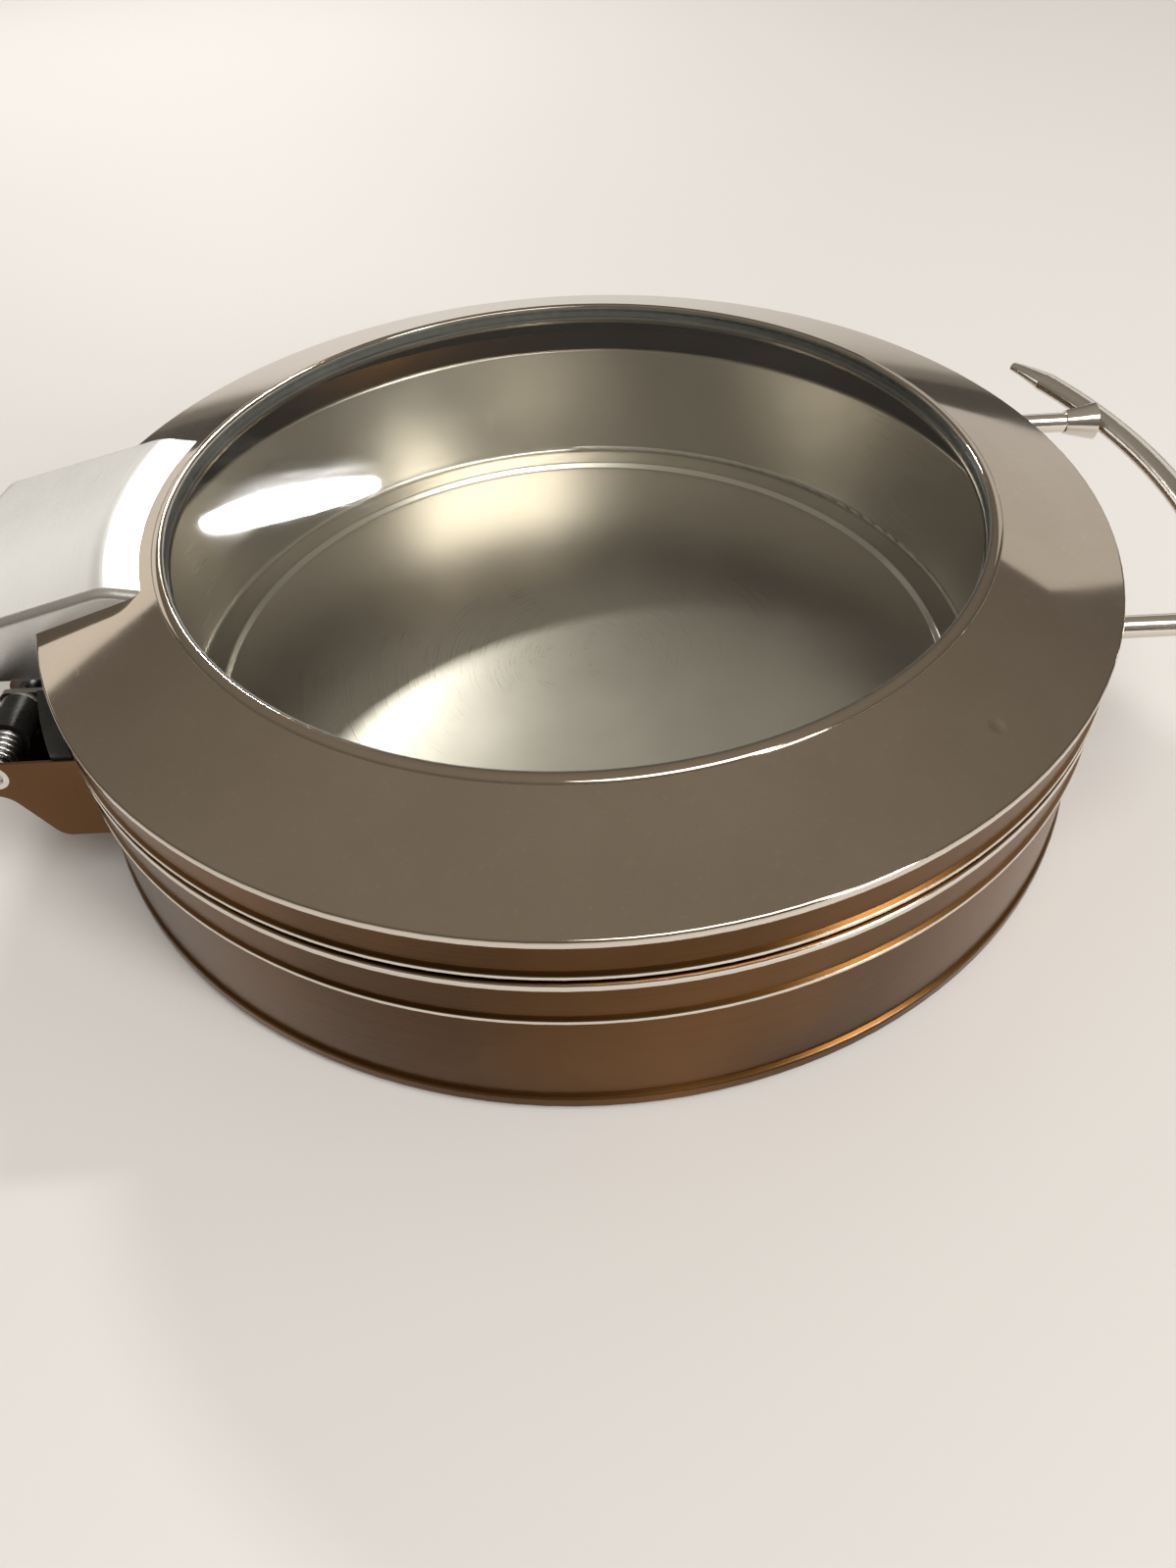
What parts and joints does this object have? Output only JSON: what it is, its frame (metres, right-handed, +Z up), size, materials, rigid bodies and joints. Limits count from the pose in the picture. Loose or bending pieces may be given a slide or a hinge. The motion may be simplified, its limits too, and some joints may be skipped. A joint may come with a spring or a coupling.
{
  "type": "round chafing dish",
  "caption": "Round stainless chafing dish with a hinged glass-window lid, a bow handle, a hooded damper hinge and a lift-out food pan over a water pan.",
  "frame": {"origin": "centre of the overall footprint on the surface the dish stands on, which is also under the centre of the round body", "axes": "+Z up, +X from the hinge towards the lid's handle, +Y to the right of someone at the handle who faces the dish"},
  "size_m": [0.514, 0.42, 0.1134],
  "materials": {
    "body_steel": "satin brushed around the body",
    "polished_steel": "mirror polished stainless steel",
    "pan_steel": "satin",
    "disc_steel": "dull, turned",
    "inner_steel": "mill finish",
    "hood_steel": "brushed along the curve",
    "clear_glass": "clear tempered glass",
    "black_rubber": "matte black silicone rubber",
    "black_liner": "matte black",
    "bush_plastic": "natural acetal",
    "damper_black": "black painted",
    "spring_steel": "bright drawn wire"
  },
  "bodies": {
    "base": {"body_shell": "body_steel", "bottom_plate": "inner_steel", "foot_pads": "black_rubber", "water_pan": "inner_steel", "induction_disc": "disc_steel", "hinge_housing": "hood_steel", "hinge_bracket_left": "inner_steel", "hinge_bracket_right": "inner_steel", "shaft_bushes": "bush_plastic", "hinge_damper_left": "damper_black", "hinge_damper_right": "damper_black", "hinge_spring_left": "spring_steel", "hinge_spring_right": "spring_steel", "hinge_liner_left": "black_liner", "hinge_liner_right": "black_liner"},
    "lid": {"lid_ring": "polished_steel", "window_glass": "clear_glass", "glass_gasket": "black_rubber", "window_trim": "polished_steel", "lid_seal": "black_rubber", "hinge_hood": "hood_steel", "hinge_arm_left": "inner_steel", "hinge_arm_right": "inner_steel", "arm_tabs": "inner_steel", "arm_rivets": "inner_steel", "hinge_shaft": "spring_steel", "shaft_collars": "inner_steel", "handle_bar": "polished_steel", "handle_post_left": "polished_steel", "handle_post_right": "polished_steel", "handle_cups": "polished_steel", "post_washers": "inner_steel", "post_screws": "spring_steel"},
    "food_pan_body": {"food_pan": "pan_steel"}
  },
  "joints": [
    {"name": "lid_hinge", "type": "hinge", "parent": "base", "child": "lid", "pos_m": [-0.215, 0, 0.068], "axis": [0, -1, 0], "range_deg": [0, 85]},
    {"name": "pan_lift", "type": "slide", "parent": "base", "child": "food_pan_body", "axis": [0, 0, 1], "range_m": [0, 0.012]}
  ]
}
